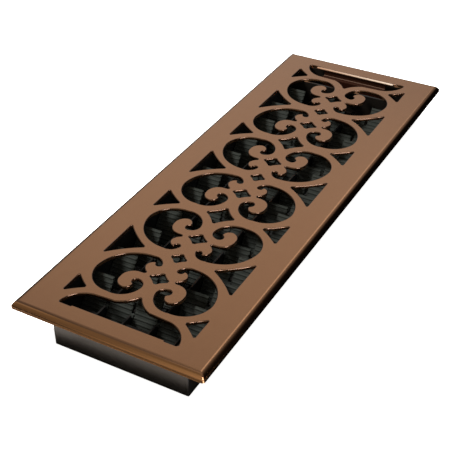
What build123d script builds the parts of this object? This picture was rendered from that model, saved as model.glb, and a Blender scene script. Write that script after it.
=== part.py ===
from build123d import *
from math import cos, radians, sin
import os

os.makedirs("parts", exist_ok=True)

# Floor register: a pressed scrollwork faceplate over a moulded damper box with a row of louvres.
# Millimetres, +Z up. X runs across, Y along the length with the thumb lever at +Y,
# and the origin is at the middle of the box's underside.

# Floor opening that the register drops into, nominally 4 by 14 inches
duct_width = 101.6
duct_length = 355.6

# Faceplate: steel sheet with a rounded rim turned down to the floor
plate_overlap_side = 16.2
plate_overlap_end = 12.7
plate_height = 4.75
plate_corner = 2.0
sheet = 2.0
rim_width = 2.4
rim_round = 4.6

# Damper box: open moulding that hangs below the floor line
box_depth = 31.0
box_play_side = 5.55
box_play_end = 2.4
box_wall = 2.0
box_corner = 1.0
flange_width = 7.0
flange_thick = 1.0

# Scrollwork: units side by side along the plate, drawn once and fitted to the box's inside
unit_count = 3
drawn_pitch = 106.0
drawn_half_width = 46.2
edge_reveal = 0.2
end_opening_depth = 15.8
tip_cut = 1.1
tight_radius = 3.0
tight_sides = 6
tongue_half_width = 32.5
tongue_step = 0.9

# Louvres: vanes in lanes on one axis, long side up in the odd lanes and down in the even ones.
# Journals and pins repeat often, so they have few sides.
lane_count = 5
rail_thick = 1.2
vane_side_gap = 0.6
long_reach = 19.0
short_reach = 8.0
vane_thick = 1.4
vane_gap = 0.5
journal_radius = 1.8
journal_sides = 6
journal_play = 0.1
rail_above_journal = 0.6
open_angle = 50.0
floor_clearance = 0.4
first_ledge = 8.1
ledge_thick = 1.6

# Tie bar under the middle lane, notched over a crank pin on each louvre
tie_thick = 2.5
tie_web = 2.6
pin_radius = 1.25
pin_play = 0.3
pin_seat = 0.55
lug_thick = 2.0
lug_width = 3.2
running_gap = 0.3
vane_to_tie = 0.5
tie_nose = 4.0
tie_head_width = 24.0
tie_head_height = 11.0

# Cross bars between the rails, with cheeks that guide the tie bar
cross_width = 3.0
cross_after_axis = 8.0
cross_count = 3
cheek_thick = 1.5
cheek_height = 3.0

# Lever bay at the far end, and the thumb lever folded from plated sheet
lever_bay = 24.0
bulkhead_thick = 1.5
bay_floor = 1.5
lever_sheet = 1.2
lever_edge_gap = 1.8
lever_proud = 1.3
lever_arm_lift = 0.25
lever_bar_width = 67.0
lever_web_width = 54.0
lever_foot_width = 28.0
lever_foot_height = 14.0
lever_foot_gap = 1.0
lever_shelf_depth = 4.15
lever_joggle = 3.8
lever_bend = 1.5
rivet_radius = 1.5
rivet_sides = 8
rivet_play = 0.05
rivet_head_radius = 2.6
rivet_head_height = 0.9
rivet_spacing = 14.0
rivet_height = 8.0

# Z-shaped clips, welded under the plate, that hold the box's flange
clip_sheet = 0.8
clip_length = 12.0
clip_finger = 4.5
clip_foot = 5.0
clip_gap = 0.4
clip_spacing = 120.0
clip_rows = 3

# Derived sizes
plate_width = duct_width + 2 * plate_overlap_side
plate_length = duct_length + 2 * plate_overlap_end
box_width = duct_width - box_play_side
box_length = duct_length - box_play_end
inner_width = box_width - 2 * box_wall
inner_length = box_length - 2 * box_wall
near_wall = -inner_length / 2
far_wall = inner_length / 2
rim_z = box_depth
plate_top = rim_z + plate_height
box_top = plate_top - sheet

field_half = inner_width / 2 + edge_reveal
end_edge = far_wall + edge_reveal
pattern_end = end_edge - end_opening_depth
unit_pitch = 2 * pattern_end / unit_count
unit_centres = [(n - (unit_count - 1) / 2) * unit_pitch for n in range(unit_count)]
unit_joins = [y + unit_pitch / 2 for y in unit_centres[:-1]]

open_sin = sin(radians(open_angle))
open_cos = cos(radians(open_angle))
axis_z = long_reach * open_sin + vane_thick * open_cos / 2 + floor_clearance
lane_pitch = (inner_width + rail_thick) / lane_count
lane_clear = lane_pitch - rail_thick
vane_width = lane_clear - 2 * vane_side_gap
lane_centres = [(n - (lane_count - 1) / 2) * lane_pitch for n in range(lane_count)]
rail_centres = [x + lane_pitch / 2 for x in lane_centres[:-1]]
louvre_pitch = long_reach + short_reach + vane_gap
bulkhead_far = far_wall - lever_bay
bulkhead_near = bulkhead_far - bulkhead_thick
first_axis = near_wall + first_ledge + vane_gap + long_reach
louvre_run = bulkhead_near - vane_gap - long_reach - first_axis
louvre_count = int(louvre_run / louvre_pitch) + 1
louvre_axes = [first_axis + n * louvre_pitch for n in range(louvre_count)]
rail_top = axis_z + journal_radius + rail_above_journal

half_swing = radians(open_angle / 2)
tie_top = axis_z - short_reach * open_sin - vane_thick * open_cos / 2 - vane_to_tie
crank = (axis_z - tie_top + pin_seat) / cos(half_swing)
pin_offset = crank * sin(half_swing)
notch_bottom = axis_z - crank - pin_radius - pin_play
tie_bottom = notch_bottom - tie_web
cross_top = tie_bottom - running_gap
lug_start = tie_thick / 2 + running_gap

lever_back = end_edge - lever_edge_gap
lever_top = plate_top + lever_proud
shelf_top = plate_top - lever_shelf_depth
web_back = lever_back - lever_joggle
web_front = web_back - lever_sheet
lever_foot_bottom = cross_top + running_gap + lever_foot_gap
head_front = web_front - tie_thick
rivet_z = tie_bottom + rivet_height


def placed(point):
    """Plan position of a point drawn as (along, across) in one quarter of a scroll unit."""
    along, across = point
    return (across * field_half / drawn_half_width, along * unit_pitch / drawn_pitch)


def arc_chain(points):
    """Arcs end to end: every second point is one that an arc passes through, or None for a line.

    The tightest arcs repeat often, so they become a few chords.
    """
    for start, through, end in zip(points[:-2:2], points[1:-1:2], points[2::2]):
        if through is None:
            Line(start, end)
            continue
        arc = ThreePointArc(start, through, end, mode=Mode.PRIVATE)
        if arc.radius > tight_radius:
            add(arc)
        else:
            Polyline(*[arc @ (n / tight_sides) for n in range(tight_sides + 1)])


def hollow_sided(corners, bows):
    """Closed outline whose sides bow inwards by the given amounts; 0 is a straight side."""
    for start, end, bow in zip(corners, corners[1:] + corners[:1], bows):
        if bow:
            SagittaArc(start, end, bow)
        else:
            Line(start, end)


# One C-scroll opening, drawn from the unit's centre: big curl, spike, small curl, outer sweep
big_hook = [(35.6, 5.4), (31.6, 6.6), (29.4, 10.2), (31.7, 14.0), (34.3, 12.4), None, (35.0, 11.6)]
big_curl = [(38.3, 12.8), (40.1, 16.9), (38.2, 20.7), (32.1, 22.95), (25.2, 20.6), (22.5, 14.6)]
spike = [None, (22.4, 11.5), None, (21.7, 10.7), None, (20.9, 10.8)]
small_curl = [(18.7, 13.4), (15.8, 14.9), (11.9, 13.9), (9.9, 10.9), None, (10.5, 10.2)]
small_hook = [(12.85, 7.9), (11.4, 5.85), (7.3, 8.0), (5.25, 14.8)]
lower_sweep = [(7.2, 25.3), (12.6, 33.7), (20.8, 39.2), (30.0, 41.3)]
upper_sweep = [(42.8, 35.5), (47.65, 21.8), (44.2, 9.7)]
outer_sweep = lower_sweep + upper_sweep
scroll_points = big_hook + big_curl + spike + small_curl + small_hook + outer_sweep + big_hook[:1]

# Gems on the centre line as (centre along, half along, half across, bow of the sides)
centre_gem = (0.0, 5.4, 6.2, 0.5)
side_gem = (23.2, 6.2, 7.5, 0.6)
join_star = (drawn_pitch / 2, 10.3, 10.9, 0.9)

# Three-cornered openings along the field's edge as (centre along, half base, apex across, bow)
wide_corner = (0.0, 16.8, 25.2, 1.1)
narrow_corner = (drawn_pitch / 2, 11.0, 31.2, 0.5)
end_corner_half_base = 8.9
end_corner_apex = 34.9
end_corner_bow = 0.3
end_corner_offset = 2.4

# End opening's inner outline, from the pattern's end: apex, lobe side, waist, sweep to the corner
end_apex = 10.1
end_outline = [(-3.4, 5.5), (0.4, 12.0), (0.8, 19.5), (1.3, 27.0), (6.4, 36.7)]
end_corner_across = 41.6

with BuildSketch() as scroll_quarter:
    with BuildLine():
        arc_chain([point and placed(point) for point in scroll_points])
    make_face()

with BuildSketch() as scrolls:
    add(scroll_quarter.sketch)
    mirror(about=Plane.YZ)
    mirror(about=Plane.XZ)


def gem(centre_along, half_along, half_across, bow):
    """Four-pointed opening on the centre line."""
    corners = [
        placed((centre_along + half_along, 0)),
        placed((centre_along, -half_across)),
        placed((centre_along - half_along, 0)),
        placed((centre_along, half_across)),
    ]
    with BuildLine() as outline:
        hollow_sided(corners, [bow] * len(corners))
    make_face(outline.edges())


def edge_corner(centre_along, half_base, apex_across, bow):
    """Three-cornered opening with its base on the field's edge."""
    corners = [
        placed((centre_along + half_base, drawn_half_width)),
        placed((centre_along, apex_across)),
        placed((centre_along - half_base, drawn_half_width)),
    ]
    with BuildLine() as outline:
        hollow_sided(corners, [bow, bow, 0])
    make_face(outline.edges())


with BuildSketch() as unit_gems:
    gem(*centre_gem)
    gem(*side_gem)
    edge_corner(*wide_corner)
    mirror(about=Plane.YZ)
    mirror(about=Plane.XZ)
    chamfer(unit_gems.vertices(), length=tip_cut)

with BuildSketch() as join_gems:
    gem(0.0, *join_star[1:])
    edge_corner(0.0, *narrow_corner[1:])
    mirror(about=Plane.YZ)
    chamfer(join_gems.vertices(), length=tip_cut)

with BuildSketch() as end_corners:
    edge_corner(0.0, end_corner_half_base, end_corner_apex, end_corner_bow)
    mirror(about=Plane.YZ)
    chamfer(end_corners.vertices(), length=tip_cut)

end_across = field_half / drawn_half_width
half_end = [(0, -end_apex)] + [(across, along) for along, across in end_outline]
half_end = [(across * end_across, pattern_end + along) for across, along in half_end]
corner_x = end_corner_across * end_across
corner_y = end_edge + tongue_step

with BuildSketch() as end_opening:
    with BuildLine() as end_line:
        arc_chain(half_end + [(corner_x, corner_y)])
        Polyline(
            (corner_x, corner_y),
            (tongue_half_width, corner_y),
            (tongue_half_width, end_edge),
            (0, end_edge),
        )
        mirror(about=Plane.YZ)
    make_face()
    outer_corners = end_opening.vertices().group_by(Axis.Y)[-1].sort_by(Axis.X)
    inner_tip = end_opening.vertices().sort_by(Axis.Y)[0]
    chamfer([outer_corners[0], outer_corners[-1], inner_tip], length=tip_cut)

# Faceplate: pressed sheet, rounded rim, hollow underside, scrollwork punched through
with BuildPart() as faceplate:
    for plane, width, length, mode in (
        (Plane.XZ, plate_width, plate_length, Mode.ADD),
        (Plane.YZ, plate_length, plate_width, Mode.INTERSECT),
    ):
        with BuildSketch(plane) as rim_section:
            with Locations((0, rim_z + plate_height / 2)):
                Rectangle(width, plate_height)
            fillet(rim_section.vertices().group_by(Axis.Y)[-1], radius=rim_round)
        extrude(amount=length / 2, both=True, mode=mode)
    with BuildSketch(Plane.XY.offset(rim_z)):
        RectangleRounded(plate_width, plate_length, plate_corner)
    extrude(amount=plate_height, mode=Mode.INTERSECT)
    with BuildSketch(Plane.XY.offset(rim_z)):
        Rectangle(plate_width - 2 * rim_width, plate_length - 2 * rim_width)
    extrude(amount=plate_height - sheet, mode=Mode.SUBTRACT)
    with BuildSketch(Plane.XY.offset(rim_z)):
        with Locations(*[(0, y) for y in unit_centres]):
            add(scrolls.sketch)
            add(unit_gems.sketch)
        with Locations(*[(0, y) for y in unit_joins]):
            add(join_gems.sketch)
        with Locations((0, pattern_end - end_corner_offset), (0, end_corner_offset - pattern_end)):
            add(end_corners.sketch)
        add(end_opening.sketch)
        add(mirror(end_opening.sketch, about=Plane.XZ, mode=Mode.PRIVATE))
    extrude(amount=plate_height, mode=Mode.SUBTRACT)
faceplate.part.label = "faceplate"
export_step(faceplate.part, "parts/faceplate.step")

# Damper box: walls and flange, rails with open bearings, closing ledges, cross bars, lever bay
shelf_bottom = axis_z - ledge_thick / 2
rail_length = bulkhead_near - near_wall
rail_middle = (bulkhead_near + near_wall) / 2
cross_gaps = [int((n + 0.5) * (louvre_count - 1) / cross_count) for n in range(cross_count)]
cross_bars = [louvre_axes[gap] + cross_after_axis for gap in cross_gaps]
tie_window_width = tie_thick + 2 * running_gap
tie_window_height = tie_top - tie_bottom + 2 * running_gap
cheek_offset = lug_start + cheek_thick / 2

flange_outer_width = box_width + 2 * flange_width
flange_outer_length = box_length + 2 * flange_width

near_reach = [short_reach if lane % 2 == 0 else long_reach for lane in range(lane_count)]
far_reach = [long_reach if lane % 2 == 0 else short_reach for lane in range(lane_count)]

with BuildPart() as damper_box:
    with BuildSketch():
        RectangleRounded(box_width, box_length, box_corner)
        Rectangle(inner_width, inner_length, mode=Mode.SUBTRACT)
    extrude(amount=box_top)
    with BuildSketch(Plane.XY.offset(box_top - flange_thick)):
        RectangleRounded(flange_outer_width, flange_outer_length, box_corner + flange_width)
        Rectangle(inner_width, inner_length, mode=Mode.SUBTRACT)
    extrude(amount=flange_thick)
    with BuildSketch():
        with Locations(*[(x, rail_middle) for x in rail_centres]):
            Rectangle(rail_thick, rail_length)
    extrude(amount=rail_top)
    with BuildSketch():
        with Locations(*[(0, y) for y in cross_bars]):
            Rectangle(inner_width, cross_width)
    extrude(amount=cross_top)
    with BuildSketch(Plane.XY.offset(cross_top)):
        with Locations(*[(side * cheek_offset, y) for y in cross_bars for side in (-1, 1)]):
            Rectangle(cheek_thick, cross_width)
    extrude(amount=cheek_height)
    with BuildSketch(Plane.XY.offset(shelf_bottom)):
        for x, near, far in zip(lane_centres, near_reach, far_reach):
            near_end = louvre_axes[0] - near - vane_gap
            far_start = louvre_axes[-1] + far + vane_gap
            with Locations((x, (near_wall + near_end) / 2)):
                Rectangle(lane_pitch, near_end - near_wall)
            with Locations((x, (far_start + bulkhead_near) / 2)):
                Rectangle(lane_pitch, bulkhead_near - far_start)
    extrude(amount=ledge_thick)
    with BuildSketch():
        with Locations((0, (bulkhead_near + bulkhead_far) / 2)):
            Rectangle(inner_width, bulkhead_thick)
    extrude(amount=box_top)
    with BuildSketch(Plane.XY.offset(cross_top - bay_floor)):
        with Locations((0, (bulkhead_far + far_wall) / 2)):
            Rectangle(inner_width, lever_bay)
    extrude(amount=bay_floor)
    with BuildSketch(Plane.XZ.offset(-bulkhead_far)):
        with Locations((0, tie_bottom - running_gap + tie_window_height / 2)):
            Rectangle(tie_window_width, tie_window_height)
    extrude(amount=bulkhead_thick, mode=Mode.SUBTRACT)
    slot_bottom = axis_z - journal_radius - journal_play
    with BuildSketch(Plane.YZ.offset(rail_centres[0] - rail_thick / 2)):
        with Locations(*[(y, (slot_bottom + rail_top) / 2) for y in louvre_axes]):
            Rectangle(2 * (journal_radius + journal_play), rail_top - slot_bottom)
    extrude(amount=rail_centres[-1] - rail_centres[0] + rail_thick, mode=Mode.SUBTRACT)
damper_box.part.label = "damper_box"
export_step(damper_box.part, "parts/damper_box.step")


def vane_plane(x):
    """Section plane across the louvre at x: along the open vane, then out of its upper face."""
    return Plane(origin=(x, louvre_axes[0], axis_z), x_dir=(0, open_cos, open_sin), z_dir=(1, 0, 0))


def crank_plane(x):
    """Section plane at x whose first direction runs from the shaft to the crank pin."""
    to_pin = (0, sin(half_swing), -cos(half_swing))
    return Plane(origin=(x, louvre_axes[0], axis_z), x_dir=to_pin, z_dir=(1, 0, 0))


# Louvre: one vane in each lane, journals between them, and a crank with its pin in the middle lane
chord = long_reach + short_reach
journal_length = lane_pitch - vane_width
lug_length = crank + lug_width / 2

with BuildPart() as louvre:
    for lane, x in enumerate(lane_centres):
        low_end = -short_reach if lane % 2 == 0 else -long_reach
        with BuildSketch(vane_plane(x - vane_width / 2)):
            with Locations((low_end + chord / 2, 0)):
                Rectangle(chord, vane_thick)
        extrude(amount=vane_width)
    for x in rail_centres:
        with BuildSketch(vane_plane(x - journal_length / 2)):
            RegularPolygon(journal_radius, journal_sides)
        extrude(amount=journal_length)
    with BuildSketch(crank_plane(lug_start)):
        with Locations((lug_length / 2, 0)):
            Rectangle(lug_length, lug_width)
    extrude(amount=lug_thick)
    with BuildSketch(crank_plane(lug_start)):
        with Locations((crank, 0)):
            RegularPolygon(pin_radius, journal_sides)
    extrude(amount=-2 * lug_start)

for number in range(louvre_count):
    copy = louvre.part.moved(Location((0, number * louvre_pitch, 0)))
    copy.label = f"louvre_{number + 1:02d}"
    export_step(copy, f"parts/louvre_{number + 1:02d}.step")

# Tie bar: notched strip on edge, with a cross head that carries the lever
tie_start = louvre_axes[0] + pin_offset - tie_nose

with BuildPart() as tie_bar:
    with BuildSketch(Plane.YZ.offset(-tie_thick / 2)):
        with Locations(((tie_start + head_front) / 2, (tie_top + tie_bottom) / 2)):
            Rectangle(head_front - tie_start, tie_top - tie_bottom)
        with Locations(*[(y + pin_offset, (tie_top + notch_bottom) / 2) for y in louvre_axes]):
            Rectangle(2 * (pin_radius + pin_play), tie_top - notch_bottom, mode=Mode.SUBTRACT)
    extrude(amount=tie_thick)
    with BuildSketch(Plane.XZ.offset(-web_front)):
        with Locations((0, tie_bottom + tie_head_height / 2)):
            Rectangle(tie_head_width, tie_head_height)
        with Locations((-rivet_spacing / 2, rivet_z), (rivet_spacing / 2, rivet_z)):
            RegularPolygon(rivet_radius + rivet_play, rivet_sides, mode=Mode.SUBTRACT)
    extrude(amount=tie_thick)
tie_bar.part.label = "tie_bar"
export_step(tie_bar.part, "parts/tie_bar.step")

# Thumb lever: foot, web, joggle shelf and a hemmed top bar, folded from one strip
hem_bottom = plate_top + lever_arm_lift
hem_front = lever_back - 2 * lever_sheet
upper_front = lever_back - lever_sheet
outer_bend = lever_bend
inner_bend = lever_bend - lever_sheet

with BuildPart() as lever:
    with BuildSketch(Plane.YZ.offset(-lever_web_width / 2)) as lever_section:
        with BuildLine():
            Polyline(
                (web_front, lever_foot_bottom),
                (web_back, lever_foot_bottom),
                (web_back, shelf_top - lever_sheet),
                (lever_back, shelf_top - lever_sheet),
                (lever_back, hem_bottom),
                (upper_front, hem_bottom),
                (upper_front, shelf_top),
                (web_front, shelf_top),
                close=True,
            )
        make_face()
        corners = lever_section.vertices()
        front_bend = corners.group_by(Axis.X)[0].sort_by(Axis.Y)[-1]
        back_bend = corners.group_by(Axis.X)[-1].sort_by(Axis.Y)[0]
        under_bend = corners.group_by(Axis.X)[1].sort_by(Axis.Y)[-1]
        upper_bend = corners.group_by(Axis.X)[2].sort_by(Axis.Y)[0]
        fillet([front_bend, back_bend], radius=outer_bend)
        fillet([under_bend, upper_bend], radius=inner_bend)
    extrude(amount=lever_web_width)
    with BuildSketch(Plane.YZ.offset(-lever_bar_width / 2)) as hem_section:
        with Locations(((hem_front + lever_back) / 2, (hem_bottom + lever_top) / 2)):
            Rectangle(lever_back - hem_front, lever_top - hem_bottom)
        fillet(hem_section.vertices().group_by(Axis.Y)[-1], radius=lever_proud / 2)
    extrude(amount=lever_bar_width)
    foot_trim = (lever_web_width - lever_foot_width) / 2
    trim_centre = (lever_foot_width + foot_trim) / 2
    trim_middle = lever_foot_bottom + lever_foot_height / 2
    with BuildSketch(Plane.XZ.offset(-web_back)):
        with Locations((-trim_centre, trim_middle), (trim_centre, trim_middle)):
            Rectangle(foot_trim, lever_foot_height)
        with Locations((-rivet_spacing / 2, rivet_z), (rivet_spacing / 2, rivet_z)):
            RegularPolygon(rivet_radius + rivet_play, rivet_sides)
    extrude(amount=lever_sheet, mode=Mode.SUBTRACT)
lever.part.label = "lever"
export_step(lever.part, "parts/lever.step")

# Rivets that hold the lever on the tie bar's head: a shank between two flat heads
with BuildPart() as lever_rivets:
    for x in (-rivet_spacing / 2, rivet_spacing / 2):
        with BuildSketch(Plane.XZ.offset(-web_back)):
            with Locations((x, rivet_z)):
                RegularPolygon(rivet_radius, rivet_sides)
        extrude(amount=tie_thick + lever_sheet)
        for face_y, away in ((web_back, -1), (head_front, 1)):
            with BuildSketch(Plane.XZ.offset(-face_y)):
                with Locations((x, rivet_z)):
                    RegularPolygon(rivet_head_radius, rivet_sides)
            extrude(amount=away * rivet_head_height)
lever_rivets.part.label = "lever_rivets"
export_step(lever_rivets.part, "parts/lever_rivets.step")

# Clips: foot against the plate, step past the flange's edge, finger under the flange
flange_edge = box_width / 2 + flange_width
riser = flange_edge + clip_gap
finger_top = box_top - flange_thick
finger_bottom = finger_top - clip_sheet
foot_bottom = box_top - clip_sheet

with BuildPart() as box_clips:
    for row in range(clip_rows):
        row_start = (row - (clip_rows - 1) / 2) * clip_spacing - clip_length / 2
        with BuildSketch(Plane.XZ.offset(-row_start)):
            with BuildLine():
                Polyline(
                    (flange_edge - clip_finger, finger_bottom),
                    (riser + clip_sheet, finger_bottom),
                    (riser + clip_sheet, foot_bottom),
                    (riser + clip_foot, foot_bottom),
                    (riser + clip_foot, box_top),
                    (riser, box_top),
                    (riser, finger_top),
                    (flange_edge - clip_finger, finger_top),
                    close=True,
                )
            make_face()
            mirror(about=Plane.YZ)
        extrude(amount=-clip_length)
box_clips.part.label = "box_clips"
export_step(box_clips.part, "parts/box_clips.step")
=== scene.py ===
from math import cos, radians, sin

import bmesh
import bpy
import numpy as np
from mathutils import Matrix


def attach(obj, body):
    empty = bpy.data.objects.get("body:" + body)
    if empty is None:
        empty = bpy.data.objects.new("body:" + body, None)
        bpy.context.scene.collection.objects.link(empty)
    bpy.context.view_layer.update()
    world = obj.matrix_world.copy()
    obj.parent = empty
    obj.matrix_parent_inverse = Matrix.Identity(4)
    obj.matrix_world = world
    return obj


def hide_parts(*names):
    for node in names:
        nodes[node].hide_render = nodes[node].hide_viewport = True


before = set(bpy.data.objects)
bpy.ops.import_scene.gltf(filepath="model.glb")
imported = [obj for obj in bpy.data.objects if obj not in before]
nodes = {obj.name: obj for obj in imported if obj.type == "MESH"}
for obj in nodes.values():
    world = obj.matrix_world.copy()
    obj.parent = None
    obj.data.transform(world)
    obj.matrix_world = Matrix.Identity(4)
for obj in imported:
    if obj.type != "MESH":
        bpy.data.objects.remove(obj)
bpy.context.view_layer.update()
print("frame loaded:", len(nodes), "nodes")


def linear(hexColour):  # sRGB hex to linear RGBA
    channels = np.array([int(hexColour[i:i + 2], 16) for i in (1, 3, 5)]) / 255
    low, high = channels / 12.92, ((channels + 0.055) / 1.055) ** 2.4
    return [*np.where(channels <= 0.04045, low, high), 1.0]


def readArray(items, name, width=1, kind=float):  # one property of every item, as an array
    values = np.empty(len(items) * width, kind)
    items.foreach_get(name, values)
    return values.reshape(-1, width) if width > 1 else values


def feed(tree, socket, value):  # value: a number, a hex colour or another node's output
    if isinstance(value, bpy.types.NodeSocket):
        tree.links.new(value, socket)
    else:
        socket.default_value = linear(value) if isinstance(value, str) else value


def addNode(tree, kind, inputs=None, **settings):  # inputs by name or number
    node = tree.nodes.new(kind)
    for key, value in settings.items():
        setattr(node, key, value)
    for key, value in (inputs or {}).items():
        feed(tree, node.inputs[key], value)
    return node


def noise(tree, spot, period, detail):  # soft blotches, one in each period of so many mm
    scale = 1000.0 / period  # blotches in a metre
    return addNode(tree, "ShaderNodeTexNoise", {"Vector": spot, "Scale": scale, "Detail": detail}).outputs[0]


def ramp(tree, source, start=0.0, end=1.0, low=0.0, high=1.0, way="LINEAR"):  # start..end to low..high
    limits = {"From Min": start, "From Max": end, "To Min": low, "To Max": high}
    return addNode(tree, "ShaderNodeMapRange", {"Value": source, **limits}, interpolation_type=way).outputs[0]


def arithmetic(tree, operation, first, second=0.0):  # numbers or outputs
    return addNode(tree, "ShaderNodeMath", {0: first, 1: second}, operation=operation).outputs[0]


def mixColours(tree, factor, first, second):  # the node's colours are its inputs 6 and 7 and its output 2
    mix = addNode(tree, "ShaderNodeMix", {"Factor": factor}, data_type="RGBA")
    feed(tree, mix.inputs[6], first)
    feed(tree, mix.inputs[7], second)
    return mix.outputs[2]


def bumps(tree, height, depth, strength):  # depth in m
    inputs = {"Height": height, "Distance": depth, "Strength": strength}
    return addNode(tree, "ShaderNodeBump", inputs).outputs[0]


def newMaterial(name):  # the material, its node tree and its object coordinates
    material = bpy.data.materials.new(name)
    material.use_nodes = True
    tree = material.node_tree
    return material, tree, addNode(tree, "ShaderNodeTexCoord").outputs["Object"]


def surface(material, inputs):  # the shader's inputs by name
    shader = material.node_tree.nodes["Principled BSDF"]
    for key, value in inputs.items():
        feed(material.node_tree, shader.inputs[key], value)
    return material


def dress(piece, material):
    piece.data.materials.clear()
    piece.data.materials.append(material)


def place(name, data):  # new object at the origin
    piece = bpy.data.objects.new(name, data)
    bpy.context.scene.collection.objects.link(piece)
    return piece


plateLook = {
    "copper": "#b9855d", "shade": "#b58159", "roughness": 0.22, "lacquer": 0.5, "lacquerRoughness": 0.18,
}
edgeLook = {
    "copper": "#7d573e", "shade": "#6b4932", "roughness": 0.20, "lacquer": 1.0, "lacquerRoughness": 0.12,
}
copperGrain = {
    "mottle": 9.0, "mottleDetail": 2.0, "flake": 0.7, "flakeDetail": 1.0,  # mm, levels
    "flakeDepth": 3e-5, "strength": 0.4, "roughnessSwing": 0.05,  # m, share, either way
}


def lacqueredCopper(name, look):  # browned copper plate under clear lacquer: satin, paler aslant
    material, tree, spot = newMaterial(name)
    mottle = noise(tree, spot, copperGrain["mottle"], copperGrain["mottleDetail"])
    # flakes are finer than 0.1 mm, drawn at 0.7 mm so that they show
    flake = noise(tree, spot, copperGrain["flake"], copperGrain["flakeDetail"])
    swing = copperGrain["roughnessSwing"]
    return surface(material, {
        "Base Color": mixColours(tree, mottle, look["shade"], look["copper"]),
        "Roughness": ramp(tree, flake, low=look["roughness"] - swing, high=look["roughness"] + swing),
        "Normal": bumps(tree, flake, copperGrain["flakeDepth"], copperGrain["strength"]),
        "Metallic": 1.0, "Coat Weight": look["lacquer"], "Coat Roughness": look["lacquerRoughness"],
    })


leverLook = {
    # painted light: left and right colour the bar's painted highlight, web is painted shade, shelf is a
    # painted highlight
    "left": "#bd9070", "right": "#ffe6cf", "web": "#33190f", "shelf": "#7a6152", "metallic": 0.5,
    "roughness": 0.42, "roughnessSwing": 0.06,
    "halfWidth": 0.0335, "litTopFrom": 0.03645, "litTopTo": 0.03695,  # m
    "shelfEdge": (0.1709, 0.0316), "bandFrom": 0.0004, "bandTo": 0.0008,  # m along and up, m away from there
    "drawLine": 0.9, "lineDetail": 2.0, "lineStretch": (0.03, 1.0, 1.0),  # mm, levels, share
}


def platedCopper():  # copper plating on folded steel, with painted light: the bar's top painted pale as a painted highlight, paler towards the right end, a painted highlight along the shelf's edge, and the web painted dark as painted shade
    material, tree, spot = newMaterial("copper_plated_steel")
    stretch = addNode(tree, "ShaderNodeMapping", {"Vector": spot, "Scale": leverLook["lineStretch"]})
    lines = noise(tree, stretch.outputs[0], leverLook["drawLine"], leverLook["lineDetail"])
    across, along, height = addNode(tree, "ShaderNodeSeparateXYZ", {0: spot}).outputs
    side = ramp(tree, across, -leverLook["halfWidth"], leverLook["halfWidth"])
    bands = []
    for way, centre in zip((along, height), leverLook["shelfEdge"]):  # painted highlight near the shelf's edge, both ways
        away = arithmetic(tree, "ABSOLUTE", arithmetic(tree, "SUBTRACT", way, centre))
        bands.append(ramp(tree, away, leverLook["bandFrom"], leverLook["bandTo"], 1.0, 0.0))
    shelfHighlight = arithmetic(tree, "MULTIPLY", *bands)
    # painted highlight along the bar, paler to the right; painted shade on the web with a painted highlight
    # at the shelf's edge
    bar = mixColours(tree, side, leverLook["left"], leverLook["right"])
    under = mixColours(tree, shelfHighlight, leverLook["web"], leverLook["shelf"])
    # painted highlight: the top of the bar is paler than what lies below it
    litTop = ramp(tree, height, leverLook["litTopFrom"], leverLook["litTopTo"])
    middle, swing = leverLook["roughness"], leverLook["roughnessSwing"]
    return surface(material, {
        "Base Color": mixColours(tree, litTop, under, bar),
        "Roughness": ramp(tree, lines, low=middle - swing, high=middle + swing),
        "Metallic": leverLook["metallic"],
    })


boxLook = {
    "black": "#12100e", "grey": "#1a1613", "roughness": 0.36, "gloss": 0.5,
    "spark": 1.1, "depth": 4e-5,  # mm, m
}
vaneLook = {
    "black": "#252725", "grey": "#323430", "roughness": 0.45, "gloss": 0.14,
    "spark": 1.0, "depth": 3e-5,  # mm, m
}
tieLook = {**vaneLook, "black": "#1b1b1a", "grey": "#262624"}
pebbling = {"detail": 2.0, "strength": 0.5, "roughnessSwing": 0.06, "ior": 1.49}


def mouldedPlastic(name, look):  # polypropylene from a spark-eroded mould: dark, fine matt pebbling
    material, tree, spot = newMaterial(name)
    # the mould's pebbles are about 0.2 mm, drawn at 1 mm so that they show
    pebble = noise(tree, spot, look["spark"], pebbling["detail"])
    swing = pebbling["roughnessSwing"]
    return surface(material, {
        "Base Color": mixColours(tree, pebble, look["black"], look["grey"]),
        "Roughness": ramp(tree, pebble, low=look["roughness"] - swing, high=look["roughness"] + swing),
        "Normal": bumps(tree, pebble, look["depth"], pebbling["strength"]),
        "IOR": pebbling["ior"], "Specular IOR Level": look["gloss"],
    })


steelLook = {"bright": "#b9b7b2", "dull": "#9a9994", "roughness": 0.36, "spangles": 250.0}  # in a metre


def zincSteel(name):  # zinc-plated sheet: pale grey with soft crystal patches
    material, tree, spot = newMaterial(name)
    spangle = addNode(tree, "ShaderNodeTexVoronoi", {"Vector": spot, "Scale": steelLook["spangles"]})
    return surface(material, {
        "Base Color": mixColours(tree, spangle.outputs["Distance"], steelLook["dull"], steelLook["bright"]),
        "Roughness": steelLook["roughness"], "Metallic": 1.0,
    })


plateFinish = lacqueredCopper("browned_copper_lacquered", plateLook)
edgeFinish = lacqueredCopper("darker_copper_lacquered_edges", edgeLook)  # darker copper on the rolled faces of the punched edges
vanePlastic = mouldedPlastic("dark_grey_polypropylene_moulded", vaneLook)
louvres = sorted(name for name in nodes if name.startswith("louvre_"))
dress(nodes["faceplate"], plateFinish)
dress(nodes["damper_box"], mouldedPlastic("black_polypropylene_moulded", boxLook))
dress(nodes["tie_bar"], mouldedPlastic("black_polypropylene_moulded_bar", tieLook))
dress(nodes["lever"], platedCopper())
dress(nodes["lever_rivets"], zincSteel("steel_rivet_headed"))
dress(nodes["box_clips"], zincSteel("zinc_plated_steel_folded"))
for louvre in louvres:
    dress(nodes[louvre], vanePlastic)
print("materials made")

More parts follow.
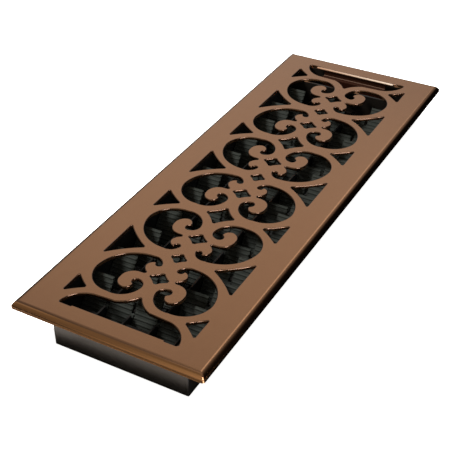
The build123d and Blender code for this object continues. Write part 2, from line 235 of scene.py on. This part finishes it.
punchedEdge = {
    "roll": 0.0005, "segments": 3, "sharpAngle": 40,  # m, count, degrees
    "weld": 1e-6, "flatWithin": 0.4,  # m, degrees
}
rim = {"radius": 0.0046, "corner": 0.0010, "cornerReach": 0.0028, "tiny": 1e-5}  # m


def insets(places):  # distance from the long side and from the end
    return np.abs(places[:, :2]).max(0) - np.abs(places[:, :2])


def cornerFaces(mesh):  # for each corner of a face, that face's number
    sides = readArray(mesh.polygons, "loop_total", kind=int)
    return np.repeat(np.arange(len(sides)), sides)


def edgeTurns(mesh):  # for each edge of a closed mesh, the angle between its two faces
    order = np.argsort(readArray(mesh.loops, "edge_index", kind=int), kind="stable")
    pairs = cornerFaces(mesh)[order].reshape(-1, 2)
    first, second = readArray(mesh.polygons, "normal", 3)[pairs.T]
    return np.arccos(np.clip((first * second).sum(1), -1, 1))


def rolledRim(mesh):  # normal = (sin a, cos a), sin a = way out from the start of the roll / radius
    corners = readArray(mesh.loops, "vertex_index", kind=int)
    normals = readArray(mesh.corner_normals, "vector", 3)
    facing = readArray(mesh.polygons, "normal", 3)[cornerFaces(mesh)]
    places = readArray(mesh.vertices, "co", 3)
    reach = np.abs(places).max(0)
    for side, across in ((0, 1), (1, 0)):  # long sides, then ends
        out = np.clip((np.abs(places[corners, side]) - reach[side] + rim["radius"]) / rim["radius"], 0, 1)
        onRim = (facing[:, 2] > -rim["tiny"]) & (np.abs(facing[:, across]) < rim["tiny"]) & (out > 0)
        rolled = np.zeros_like(normals)
        rolled[:, side], rolled[:, 2] = out * np.sign(places[corners, side]), np.sqrt(1 - out ** 2)
        normals = np.where(onRim[:, None], rolled, normals)
    level = facing[:, 2] > 1 - rim["tiny"]
    normals[level] = (0, 0, 1)
    mesh.normals_split_custom_set(normals.tolist())


def roundedShare(mesh):  # for each edge, the share of the corner's rounding that it gets
    places = readArray(mesh.vertices, "co", 3)
    ends = readArray(mesh.edges, "vertices", 2, int)
    inset = insets(places)
    mitre = (np.abs(inset[:, 0] - inset[:, 1]) < rim["tiny"]) & (inset[:, 0] < rim["cornerReach"])
    oneCorner = (np.sign(places[ends[:, 0], :2]) == np.sign(places[ends[:, 1], :2])).all(1)
    onTop = (places[:, 2] > places[:, 2].max() - rim["tiny"]) & (inset.min(1) > rim["radius"])
    punched = onTop[ends].all(1) & (edgeTurns(mesh) > radians(punchedEdge["sharpAngle"]))
    return np.where(mitre[ends].all(1) & oneCorner, 1.0, punched * punchedEdge["roll"] / rim["corner"])


def pressedPlate():  # the solid's own mesh, merged, with the rolled-over edge that a punch leaves
    mesh = nodes["faceplate"].data.copy()
    work = bmesh.new()
    work.from_mesh(mesh)
    bmesh.ops.remove_doubles(work, verts=work.verts, dist=punchedEdge["weld"])
    flat = radians(punchedEdge["flatWithin"])
    bmesh.ops.dissolve_limit(work, angle_limit=flat, verts=work.verts, edges=work.edges)
    work.to_mesh(mesh)
    work.free()
    mesh.shade_smooth()
    share = roundedShare(mesh)
    mesh.attributes.new("bevel_weight_edge", "FLOAT", "EDGE").data.foreach_set("value", share)
    blank = place("plate_blank", mesh)
    dress(blank, plateFinish)
    mesh.materials.append(edgeFinish)
    bevel = blank.modifiers.new("rounded_edges", "BEVEL")  # leaves its own faces in the second material
    bevel.width, bevel.segments, bevel.limit_method = rim["corner"], punchedEdge["segments"], "WEIGHT"
    bevel.material, bevel.use_clamp_overlap = 1, False
    finished = bpy.data.meshes.new_from_object(blank.evaluated_get(bpy.context.evaluated_depsgraph_get()))
    bpy.data.objects.remove(blank)
    finished.set_sharp_from_angle(angle=radians(punchedEdge["sharpAngle"]))
    inset = insets(readArray(finished.polygons, "center", 3))
    finish = readArray(finished.polygons, "material_index", kind=int)
    onHoles = inset.min(1) > rim["radius"]  # the rim keeps the plate's own finish
    finished.polygons.foreach_set("material_index", np.where(onHoles, finish, 0))
    rolledRim(finished)
    plate = place("pressed_faceplate", finished)
    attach(plate, "register")
    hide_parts("faceplate")


pressedPlate()
print("faceplate pressed")

vaneRibs = {
    "count": 9, "points": 7, "lanes": 5, "openAngle": 50.0, "sharpAngle": 50.0,  # counts, degrees
    "height": 0.6, "base": 1.7, "length": 15.4, "sunk": 0.06,  # mm, one rib
    "chord": 27.0, "shortReach": 8.0, "longReach": 19.0, "thick": 1.4, "lanePitch": 18.65,  # mm, one vane
    "axisHeight": 15.4048, "firstAxis": -147.0, "pitch": 27.5,  # mm, the shafts
}


def moulded(ribs, number):  # ridge of half-sine section, height(u) = h sin(pi u), carried across each vane
    lane = np.arange(ribs["lanes"])
    low = np.where(lane % 2 == 0, -ribs["shortReach"], -ribs["longReach"])
    spacing = ribs["chord"] / ribs["count"]
    u = np.linspace(0, 1, ribs["points"])
    along = low[:, None] + (np.arange(ribs["count"]) + 0.5) * spacing  # lane, rib
    along = along[:, :, None, None] + ((u - 0.5) * ribs["base"])  # lane, rib, end, point
    out = ribs["thick"] / 2 - ribs["sunk"] + ribs["height"] * np.sin(np.pi * u)
    across = (lane - (ribs["lanes"] - 1) / 2) * ribs["lanePitch"]
    across = across[:, None, None, None] + np.array([-0.5, 0.5])[:, None] * ribs["length"]
    along, out, across = np.broadcast_arrays(along, out, across)
    turn = radians(ribs["openAngle"])
    y = ribs["firstAxis"] + number * ribs["pitch"] + along * cos(turn) - out * sin(turn)
    z = ribs["axisHeight"] + along * sin(turn) + out * cos(turn)
    return np.stack([across, y, z], -1).reshape(-1, 3) / 1000


def ribFaces(ribs):  # each ridge: a strip over the top, a base and two end faces
    n = ribs["points"]
    start = np.arange(ribs["lanes"] * ribs["count"])[:, None] * 2 * n
    i = np.arange(n - 1)
    strip = np.stack([start + i, start + n + i, start + n + i + 1, start + i + 1], -1).reshape(-1, 4)
    base = (start + np.array([0, n - 1, 2 * n - 1, n])).tolist()
    nearEnd = (start + np.arange(n)).tolist()
    farEnd = (start + n + np.arange(n)[::-1]).tolist()
    return strip.tolist() + base + nearEnd + farEnd


for number, louvre in enumerate(louvres):
    mesh = bpy.data.meshes.new(f"vane_ribs_{number + 1:02d}")
    mesh.from_pydata(moulded(vaneRibs, number).tolist(), [], ribFaces(vaneRibs))
    work = bmesh.new()
    work.from_mesh(mesh)
    bmesh.ops.recalc_face_normals(work, faces=work.faces)
    work.to_mesh(mesh)
    work.free()
    mesh.shade_smooth()
    mesh.set_sharp_from_angle(angle=radians(vaneRibs["sharpAngle"]))
    ribs = place(mesh.name, mesh)
    dress(ribs, vanePlastic)
    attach(ribs, louvre + "_body")
print("vane ribs moulded")

studio = {
    "white": "#ffffff", "paper": "#f7f6f4", "black": "#050505", "paperRoughness": 0.9,
    "floorSize": 6.0, "glow": 1.1, "glowEdge": 0.0015, "footHeight": 0.001,  # m, strength, m, m
    "shadeCard": (0.010, 0.009), "shadeCardHeight": 0.0002,  # m that the black sheet of painted shade shows past the box, m
    "bounce": {"colour": "#fff0e4", "strength": 0.85, "halfWidth": 0.3, "height": 0.0003,  # m
               "from": 0.009, "to": 0.029},  # m in front of the box
    "sky": 0.05, "backdrop": 1.0,
    "lobes": {  # towards, cosine where it starts, cosine where it is full, change of the sky
        "farWall": ((-0.28, 0.77, 0.57), 0.74, 0.96, 0.22),
        "farPeak": ((-0.50, 0.73, 0.47), 0.93, 1.0, 0.31),
        "farGlint": ((-0.14, 0.77, 0.62), 0.987, 0.999, 0.85),
        "nearGlint": ((-0.16, 0.61, 0.77), 0.987, 0.999, 1.0),
        "ceiling": ((-0.40, -0.40, 0.82), 0.70, 0.98, 0.20),
        "nearStrip": ((-0.30, -0.93, 0.12), 0.93, 0.985, 0.36),
        "roomNear": ((0.15, -0.78, 0.60), 0.80, 0.97, 0.40),
        "roomLeft": ((-0.93, 0.0, 0.36), 0.88, 0.98, 0.35),
        "roomTop": ((0.10, 0.15, 0.98), 0.93, 0.99, 0.35),
        "nearRight": ((0.16, -0.95, 0.05), 0.835, 0.93, 0.50),
        "cornerStrip": ((0.80, -0.58, -0.12), 0.945, 0.985, 5.0),
        "cornerUpper": ((0.84, -0.52, 0.12), 0.97, 0.992, 3.5),
        "cornerFoot": ((0.70, -0.50, -0.51), 0.93, 0.985, 5.0),
        "table": ((-0.45, -0.45, -0.77), 0.75, 0.97, 0.22),
        "blackCard": ((0.62, 0.70, -0.10), 0.62, 0.85, -0.05),
    },
    "warmColour": "#fff5d6", "warmSide": ((-0.505, -0.857, 0.101), 0.15, 0.50, 1.0),  # near side, as a lobe
    "lamps": {  # m, m, W, and whether it shows in gloss or only lights matt surfaces
        "key": {"place": (0.81, -0.58, 0.83), "size": (0.5, 0.5), "power": 8.0, "gloss": True},
        "fill": {"place": (-0.75, -0.22, 0.90), "size": (0.30, 0.30), "power": 28.0, "gloss": False},
    },
}

boxPoints = readArray(nodes["damper_box"].data.vertices, "co", 3)
onFloor = boxPoints[:, 2] < studio["footHeight"]
boxFoot = np.abs(boxPoints[onFloor, :2]).max(0).tolist()  # half width and half length on the floor


def flatSheet(name, halfWidth, halfLength, height, material, along=0.0):  # four corners of a level rectangle
    mesh = bpy.data.meshes.new(name)
    corners = np.array([(-1, -1), (1, -1), (1, 1), (-1, 1)]) * (halfWidth, halfLength) + (0.0, along)
    mesh.from_pydata(np.column_stack([corners, np.full(4, height)]).tolist(), [], [(0, 1, 2, 3)])
    sheet = place(name, mesh)
    dress(sheet, material)
    return sheet


def lightPaper():  # white paper on a light table, covered where the register stands
    material, tree, spot = newMaterial("white_background_paper")
    ways = addNode(tree, "ShaderNodeSeparateXYZ", {0: spot}).outputs[:2]  # across, along
    glows = []
    for way, clear in zip(ways, boxFoot):
        away = arithmetic(tree, "ABSOLUTE", way)
        glows.append(ramp(tree, away, clear - studio["glowEdge"], clear, 0.0, studio["glow"], "SMOOTHSTEP"))
    return surface(material, {
        "Base Color": studio["paper"], "Roughness": studio["paperRoughness"], "Specular IOR Level": 0.0,
        "Emission Color": studio["paper"], "Emission Strength": arithmetic(tree, "MAXIMUM", *glows),
    })


floor = flatSheet("studio_floor", studio["floorSize"] / 2, studio["floorSize"] / 2, 0.0, lightPaper())
floor.visible_glossy = False  # reflections see the studio, not the paper

# a black sheet laid round the box's foot as painted shade
shadeCardPaper = surface(newMaterial("painted_shade_black_card")[0],
                    {"Base Color": studio["black"], "Roughness": studio["paperRoughness"]})
shadeCard = flatSheet("painted_shade_studio_card", boxFoot[0] + studio["shadeCard"][0], boxFoot[1] + studio["shadeCard"][1],
                 studio["shadeCardHeight"], shadeCardPaper)
shadeCard.visible_camera = False  # painted shade: a black sheet that only darkens what is mirrored along the foot of the box

bounce = studio["bounce"]
bouncePaper = surface(newMaterial("warm_white_card")[0], {
    "Base Color": bounce["colour"],
    "Emission Color": bounce["colour"], "Emission Strength": bounce["strength"],
})
strip = flatSheet("studio_bounce", bounce["halfWidth"], (bounce["to"] - bounce["from"]) / 2, bounce["height"],
                  bouncePaper, -boxFoot[1] - (bounce["from"] + bounce["to"]) / 2)
strip.visible_camera = strip.visible_diffuse = False  # only mirrored in the near side of the box

world = bpy.data.worlds.new("studio")
bpy.context.scene.world = world
world.use_nodes = True
sky = world.node_tree
direction = addNode(sky, "ShaderNodeTexCoord").outputs["Generated"]


def lobe(axis, start, end, change):  # soft patch of the studio around an axis
    unit = (np.array(axis) / np.linalg.norm(axis)).tolist()
    facing = addNode(sky, "ShaderNodeVectorMath", {0: direction, 1: unit}, operation="DOT_PRODUCT")
    return ramp(sky, facing.outputs["Value"], start, end, 0.0, change, "SMOOTHSTEP")


level = studio["sky"]
for patch in studio["lobes"].values():
    level = arithmetic(sky, "ADD", level, lobe(*patch))
level = arithmetic(sky, "MAXIMUM", level, 0.0)
walls = mixColours(sky, lobe(*studio["warmSide"]), studio["white"], studio["warmColour"])
seen = addNode(sky, "ShaderNodeLightPath").outputs["Is Camera Ray"]  # plain white above the paper's edge
backdrop = addNode(sky, "ShaderNodeMix", {"Factor": seen, "A": level, "B": studio["backdrop"]})
background = sky.nodes["Background"]
feed(sky, background.inputs["Strength"], backdrop.outputs[0])
feed(sky, background.inputs["Color"], mixColours(sky, seen, walls, studio["white"]))

for name, look in studio["lamps"].items():
    lamp = bpy.data.lights.new(f"softbox_{name}", "AREA")
    lamp.shape, lamp.energy = "RECTANGLE", look["power"]
    lamp.size, lamp.size_y = look["size"]
    light = place(lamp.name, lamp)
    light.location = look["place"]
    light.visible_glossy, light.visible_diffuse = look["gloss"], not look["gloss"]
    light.rotation_mode = "QUATERNION"
    light.rotation_quaternion = (-light.location).to_track_quat("-Z", "Y")  # towards the origin
print("studio set")

cameraFit = {
    "place": (0.27254477, -0.52567873, 0.41969820), "turn": (54.32560, 0.63821, 29.20563),  # m, degrees
    "lens": 80.28434, "sensor": 36.0,  # mm
}
camera = place("camera", bpy.data.cameras.new("camera"))
camera.data.lens, camera.data.sensor_width = cameraFit["lens"], cameraFit["sensor"]
camera.location = cameraFit["place"]
camera.rotation_euler = [radians(angle) for angle in cameraFit["turn"]]
bpy.context.scene.camera = camera
bpy.context.scene.view_settings.view_transform = "Standard"

print("camera set")
